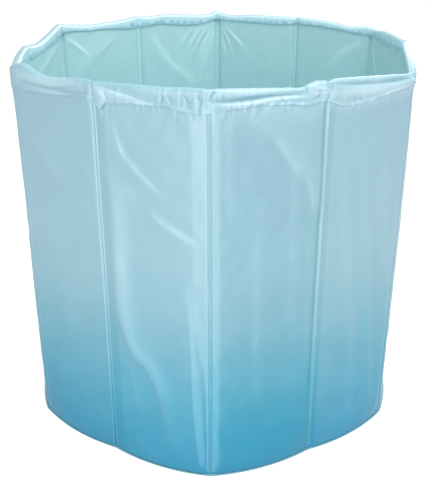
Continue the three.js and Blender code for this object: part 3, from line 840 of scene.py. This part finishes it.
# Folds of the hem's outside, in the same form, but with points as hundredths across and
# millimetres under the nominal height
hem_folds = {
    1: [(1.4, 5, 2, [(30, 6), (-20, 6.5), (-60, 5), (-105, 2)]),
        (2.6, (9, 1.6), 1.6, [(102, 5), (74, 11), (34, 17), (16, 21), (-20, 26)]),
        (1.5, (9, 2.4), 1.6, [(94, 8), (80, 18), (77, 25), (82, 34), (86, 41)]),
        (-1.5, 1.6, 1.7, [(-22, 8), (-24, 15), (-20, 23)]),
        (-1.3, 1.5, 1.7, [(-35, 7), (-36, 14), (-40, 22)]),
        (-1.5, 1.8, 1.7, [(-64, 4), (-63, 11), (-68, 19)]),
        (-1.3, 1.6, 1.7, [(-85, 2), (-84, 10), (-88, 17)]),
        (2.4, (4, 5), 1.8, [(-80, 37), (-92, 35), (-102, 28), (-108, 22)]),
        (1, 4, 2, [(-40, 26), (-55, 27), (-75, 31)])],
    2: [(2.2, 7, 2, [(90, 12), (60, 13), (10, 16), (-40, 12), (-85, 8)]),
        (-1.6, (2, 3), 1.6, [(75, 21), (61, 22), (1, 23), (-39, 18), (-70, 13)]),
        (-1.3, (1.8, 3), 1.6, [(-10, 23.2), (-30, 24.3), (-53, 24), (-95, 20.5)]),
        (1.4, 4, 2, [(60, 30), (0, 29), (-40, 27.5), (-80, 23)])],
    11: [(1, 2.5, 2, [(98, 1), (42, 4.5), (-30, 10), (-85, 13)]),
        (-1.8, (2.2, 3), 1.7, [(100, 3), (59, 9), (-18, 16), (-72, 19.5)]),
        (2.2, (8, 10), 2, [(102, 17), (85, 19.8), (20, 24), (-60, 27.6), (-95, 24)]),
        (-1.7, (3.5, 4.5), 2, [(-15, 13), (-50, 16), (-85, 16), (-125, 12)]),
        (-1.6, 1.5, 1.7, [(94, 5), (95, 10), (93, 15)]),
        (-1.4, 2, 1.7, [(53, 25), (47, 30), (44, 36)]),
        (-1.4, 2, 1.7, [(38, 27), (33, 32), (28, 38)]),
        (2, 4, 2, [(-86, 16), (-95, 20), (-104, 24)])],
    12: [(2.6, 4.5, 2, [(105, 2), (60, 4), (20, 7), (-38, 9.5), (-52, 9)]),
        (-2.6, 3.6, 2, [(97, 10), (81, 13), (53, 14.2), (33, 12.6), (1, 12), (-38, 13), (-55, 14)]),
        (3.2, (3, 3.2), 2, [(100, 18), (65, 20), (47, 19.6), (-2, 17.5), (-40, 18.2), (-70, 20)]),
        (3, (9, 7), 2, [(-57, 9), (-70, 9), (-85, 12), (-105, 16)]),
        (-1.6, (1.6, 2.2), 1.7, [(-68, 8), (-82, 12), (-97, 13)]),
        (-1.4, (1.5, 2), 1.7, [(-70, 24), (-82, 19), (-96, 18)]),
        (-2.4, 1.5, 1.7, [(-56, 5), (-60, 10), (-64, 16)]),
        (-1.8, 1.6, 1.7, [(-80, 9), (-82, 15), (-78, 22)]),
        (-1.4, 1.5, 1.7, [(30, 13), (32, 18), (30, 24)]),
        (-1.2, 1.3, 1.7, [(64, 14), (66, 19), (64, 25)]),
        (-1.4, 1.5, 1.7, [(-20, 13), (-18, 18), (-24, 25)]),
        (-3, 2, 1.7, [(88, -2), (95, 4), (100, 13)]),
        (2.8, (4, 5), 1.8, [(98, 34), (102, 28), (97, 22)])],
}
plain_hem_folds = [
    (1.8, 6, 2, [(-95, 12), (-30, 12), (40, 13), (95, 12)]),
    (-1.3, (2, 3), 1.6, [(-70, 19), (-10, 21), (50, 18)]),
    (-1.1, 1.6, 1.7, [(-45, 8), (-42, 16), (-48, 25)]),
    (-1.1, 1.6, 1.7, [(66, 8), (62, 16), (66, 26)]),
]

# Painted light and shade on the hem: paler by panel, a painted shadow along its lower edge,
# painted highlights on its folds and painted shade in their valleys, painted shade over its crest,
# and painted light inside, which turns to painted shade towards the bottom, with painted streaks
# along its gathers
hem_panel_painted_light = {2: 0.2, 12: 0.3, 11: 1.0}
hem_edge_painted_shadow = {1: -1.6, 2: -1.0}
hem_edge_reach = 0.08
hem_fold_painted_shading = 1.0
hem_valley_painted_shade = 0.3
hem_crest_painted_shade = -2.8
hem_inner_painted_light = 3.8
hem_inner_fade_to_shade = 1.1
hem_inner_gather_painted_shading = 0.2


def hem_sheet(panel, u):
    """The hem as a path over the rim: up the outside, over half a circle and down the inside.
    The cloth stands off that path by the roll's swell, the folds, the gathers and the pinch at
    the seams. At the blunt seams the roll is narrower, so that two of them fit side by side in
    the folded wall. Gives y and z of both faces, the height of the cloth laid out flat, and its
    painted light and shade."""
    up = np.concatenate([[0, 0.02], np.linspace(0.06, 1, 25)])[:, None]
    over = np.linspace(0, 1, 18)[1:, None]
    down = np.concatenate([np.linspace(0, 0.9, 9)[1:], [0.97, 1]])[:, None]
    edge = ring_z(hem_edge_points, panel, u)
    spring = ring_z(crest_points, panel, u) - hem_radius
    inner = ring_z(inner_edge_points, panel, u)
    turn = np.pi * over
    z = np.vstack([edge + (spring - edge) * up, spring + hem_radius * np.sin(turn),
                   spring + (inner - spring) * down])
    x = u * half_pitch + 0 * z
    pull = np.exp(-(((1 - np.abs(u)) * half_pitch / hem_pinch_width) ** 2)) + 0 * z
    outside = np.vstack([1 + 0 * up, 1 - smooth_step(over), 0 * down])
    climb = np.vstack([up, 1 + 0 * over, 1 + 0 * down])
    folds = creases(x, z - tub_height, hem_folds.get(panel, plain_hem_folds), -1.0)
    flush = hem_flush.get(panel, plain_flush) * (1 - u**8)
    swell = hem_roll * smooth_step(climb / (0.25 + 0.3 * flush)) + folds
    swell = swell + hem_wave * gathers("broad", panel, u, z / broad_lean)
    tuck = flush * tuck_rise * hem_tucks.get(panel, plain_tuck)
    swell = swell + tuck * under_hem(z, edge, hem_press)
    least, added, begin, length = hem_gathers.get(panel, plain_hem_gathers)
    gather = least + added * smooth_step((u - begin) / length)
    swell = swell + gather * gathers("fine", panel, u, z / gather_lean)
    swell = swell * smooth_step(climb / edge_climb + 0.25) - hem_pinch * pull
    swell = np.maximum(swell, deepest_fold)
    blunt = np.where(u < 0, (panel - 1) % 2, panel % 2)
    nip = blunt * np.exp(-(((1 - np.abs(u)) * half_pitch / hem_nip_width) ** 2))
    middle = hem_middle - hem_nip * nip
    inner_swell = hem_inner_roll + 0.5 * hem_wave * gathers("fine", panel, u, z / inside_lean) - pull
    inner_swell = np.clip(inner_swell, 0, fullest_inside) * (1 - nip)
    cloth = hem_thickness * (1 - flush_thinning * flush * np.exp(-climb * 4) * outside)
    skin = skin_rise(panel, u, z) * outside
    lining = np.maximum(lining_rise(panel, u, z) - lining_face, 0) * (1 - outside)
    stand = hem_gap + cloth + skin * (outside > 0.99) + swell * outside
    stand = stand + (inner_swell + lining) * (1 - outside)
    path_y = middle * np.vstack([0 * up, np.cos(turn) - 1, -2 + 0 * down])
    lean_y = np.vstack([1 + 0 * up, np.cos(turn), -1 + 0 * down])
    lean_z = np.vstack([0 * up, np.sin(turn), 0 * down])
    outer_z = z + lean_z * (stand - hem_gap - hem_thickness)
    outer_y = path_y + lean_y * stand
    slope_y, slope_z = np.gradient(outer_y, axis=0), np.gradient(outer_z, axis=0)
    length = np.hypot(slope_y, slope_z)
    steps = np.hypot(np.diff(outer_y, axis=0), np.diff(outer_z, axis=0))
    laid = edge + np.vstack([0 * edge, np.cumsum(steps, 0)])
    # Painted light and shade: paler by panel, painted highlights on folds and painted shade in their
    # valleys, and a painted shadow along the lower edge
    painted_tone = hem_panel_painted_light.get(panel, 0.0) + hem_fold_painted_shading * folds * outside
    painted_tone = painted_tone + hem_valley_painted_shade * np.minimum(folds, 0) * outside
    near_edge = np.exp(-((climb / hem_edge_reach) ** 2))
    painted_tone = painted_tone + hem_edge_painted_shadow.get(panel, 0.0) * near_edge * outside
    # Painted light inside the hem, turning to painted shade towards its lower edge, with painted streaks
    # along the gathers, and painted shade over the crest
    hang = np.vstack([0 * up, 0 * over, down])
    hang = hang + hang_wave * gathers("broad", panel, u, z / hang_lean)
    lit = hem_inner_painted_light * (1 - hem_inner_fade_to_shade * smooth_step((hang - 0.25) / 0.6))
    lit = lit + hem_inner_gather_painted_shading * gathers("fine", panel, u, z / inside_lean)
    painted_tone = painted_tone + hem_crest_painted_shade * (lean_z * (lean_y > -0.5)) + lit * (1 - outside)
    return np.stack([outer_y, outer_z, outer_y - cloth * slope_z / length,
                     outer_z + cloth * slope_y / length, laid, painted_tone])


# The skin's film, from the pale end of its print
hem_shades = [(0.0, "#A9D6E5"), (1.0, "#ADD9E8")]
hem_material = coated_cloth("coated_nylon_hem", hem_shades, 0.38, painted_shading_depth=0.09)

for seam, part, label, panel in seam_parts():
    a = columns_beside(part)
    # The last row is the hem's painted light and shade
    outer_y, outer_z, inner_y, inner_z, laid, painted_shading = beside_seam(seam, a, hem_sheet)
    piece = closed_sheet(
        f"hem_{label}", hem_material, wall_points(seam, a, outer_y, outer_z),
        wall_points(seam, a, inner_y, inner_z), laid_flat(seam, a, laid), painted_shading,
    )
    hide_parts(f"rim_hem_{panel:02d}")
    hang_on_walls(piece, seam, part, panel, hem_blend)

# Drain: a flanged tube of white nylon through the wall, drawn tight on a rubber gasket by a
# hexagonal nut outside, and closed by a softer push-in stopper. All are injection moulded, with
# the faint grain of a spark-finished mould.
drain_nylon = plain_plastic("moulded_nylon", "#F2F4F4", 0.35, 0.4, 0.01, 1.53)
drain_materials = {
    "nozzle": drain_nylon,
    "nut": drain_nylon,
    "gasket": plain_plastic("moulded_rubber", "#5D6468", 0.7, 0.6, 0.02, 1.52),
    "stopper": plain_plastic("moulded_soft_plastic", "#E4EEF2", 0.5, 0.5, 0.015, 1.5),
}
for node, material in drain_materials.items():
    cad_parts[f"drain_{node}"].material_slots[0].material = material

# Floor: a round-cornered sheet welded under the wall, a foam pad on it and the floor's own
# lining. It is soft, so each panel carries its own part, from its foot to the tub's middle.
flange = 3.0
sheet_height = 1.2
middle_gap = 0.3
pad_edge = 0.028
pad_round = 0.02


def facing(panel):
    """The level direction that a panel's outside faces."""
    return -math.sin(headings[panel - 1]), -math.cos(headings[panel - 1])


def floor_gore(panel):
    """One panel's share of the floor, as its upper and its lower face and its plan. Each row is
    the wall's foot line drawn towards the tub's middle by a share. The upper face rises from
    the flange over the pad's rounded edge to the floor's top."""
    reach = np.concatenate([[0, 0.004, 0.012, 0.02, 0.026, 0.034, 0.05], np.linspace(0.09, 1, 14)])
    across = np.linspace(-1, 1, 25)
    middle = seam_places.mean(0)
    first, last = seam_places[panel - 1], seam_places[panel % panel_count]
    outward = np.array(facing(panel))
    foot = first + (last - first) * (across[:, None] + 1) / 2 + flange * outward
    turns = np.where(across < 0, seam_turns[panel - 1], seam_turns[panel % panel_count])
    spread = flange * np.tan(turns / 2) / half_pitch
    foot = foot + (last - first) / 2 * (across * spread)[:, None]
    keep = (1 - reach)[:, None, None] * (1 - middle_gap / half_pitch) + middle_gap / half_pitch
    foot = foot + foot_flare * (1 - across**2)[:, None] * outward
    plan = middle + (foot - middle) * keep
    crown = sheet_height + (floor_top - sheet_height) * smooth_step((reach - pad_edge) / pad_round)
    top = np.broadcast_to(crown[:, None, None], (*plan.shape[:2], 1))
    upper = np.concatenate([plan, top], -1) * mm
    lower = np.concatenate([plan, 0 * top], -1) * mm
    return upper, lower, plan * mm


floor_material = coated_cloth("coated_nylon_floor", [(0.0, "#9CD2DE"), (1.0, "#9CD2DE")], 0.42)

for panel in range(1, panel_count + 1):
    upper, lower, plan = floor_gore(panel)
    piece = closed_sheet(f"floor_{panel:02d}", floor_material, upper, lower, plan)
    anchor = wall_points(panel - 1, np.array([half_pitch]), 0.0, 0.0)[0]
    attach(piece, f"wall_{panel:02d}")
    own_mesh(piece)
    if panel == drain_panel:
        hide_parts("base_sheet", "floor_pad", "floor_liner")

# Floor, world and lamps: a plain white floor, which keeps the tub's soft shadow, under a white
# sky, with large soft lamps above, in front and behind.
floor_half = 6.0
floor_grey = 0.82
floor_glow = 0.66

# Glossy rays see the floor in front as a bright card, which ends in a soft edge on each side:
# the place of its foot, the angles of the edge, and its strength inside and outside
card_foot = -0.36
card_edge = (0.5, 0.75)
card_glow = (1.7, 0.12)

floor_mesh = bpy.data.meshes.new("studio_floor")
corners = [(-1, -1), (1, -1), (1, 1), (-1, 1)]
floor_mesh.from_pydata([(x * floor_half, y * floor_half, 0) for x, y in corners], [], [range(4)])
studio_floor = put_in_scene("studio_floor", floor_mesh)
floor_paint, paint, _ = new_material("studio_white")
paint.nodes.clear()
rays = add_node(paint, "LightPath").outputs
place = add_node(paint, "SeparateXYZ", [add_node(paint, "TexCoord").outputs["Object"]]).outputs
side = add_node(paint, "Math", [place["X"]], operation="ABSOLUTE")
front = add_node(paint, "Math", [card_foot, place["Y"]], operation="SUBTRACT")
angle = add_node(paint, "Math", [side, front], operation="ARCTAN2")
card = add_node(paint, "MapRange", [angle, *card_edge, *card_glow], interpolation_type="SMOOTHSTEP")
shine = add_node(paint, "Math", [rays["Is Glossy Ray"], card], operation="MULTIPLY")
glow = add_node(paint, "Math", [rays["Is Camera Ray"], floor_glow, shine], operation="MULTIPLY_ADD")
matt = add_node(paint, "BsdfDiffuse", {"Color": (floor_grey, floor_grey, floor_grey, 1.0)})
both = add_node(paint, "AddShader", [matt, add_node(paint, "Emission", {"Strength": glow})])
add_node(paint, "OutputMaterial", {"Surface": both})
floor_mesh.materials.append(floor_paint)

# The sky lights the tub at the first strength, and glossy rays see the second added to it, and
# the camera the third, which makes it white
sky_strengths = (0.4, 0.2, 0.6)
world = bpy.data.worlds.new("white_sky")
world.use_nodes = True
sky = world.node_tree
sky.nodes.clear()
lit, glossy, seen = sky_strengths
rays = add_node(sky, "LightPath").outputs
shine = add_node(sky, "Math", [rays["Is Glossy Ray"], glossy, lit], operation="MULTIPLY_ADD")
glow = add_node(sky, "Math", [rays["Is Camera Ray"], seen, shine], operation="MULTIPLY_ADD")
light = add_node(sky, "Background", {"Color": (1, 1, 1, 1), "Strength": glow})
add_node(sky, "OutputWorld", {"Surface": light})
bpy.context.scene.world = world

# Each lamp's place, the point it faces, its side in metres, and its power in watts
lamps = {
    "over_lamp": ((0.5, -0.5, 2.4), (-0.1, 0, 0.3), 2.0, 40.0),
    "front_lamp": ((-0.8, -2.2, 0.55), (0, 0, 0.35), 1.3, 13.0),
    "back_lamp": ((0.9, 2.4, 0.9), (0, 0, 0.3), 1.4, 17.0),
}
for name, (place, aim, size, power) in lamps.items():
    data = bpy.data.lights.new(name, "AREA")
    data.shape = "SQUARE"
    data.size = size
    data.energy = power
    lamp = put_in_scene(name, data)
    lamp.location = place
    lamp.rotation_euler = (Vector(aim) - Vector(place)).to_track_quat("-Z", "Y").to_euler()

bpy.context.scene.view_settings.view_transform = "Standard"
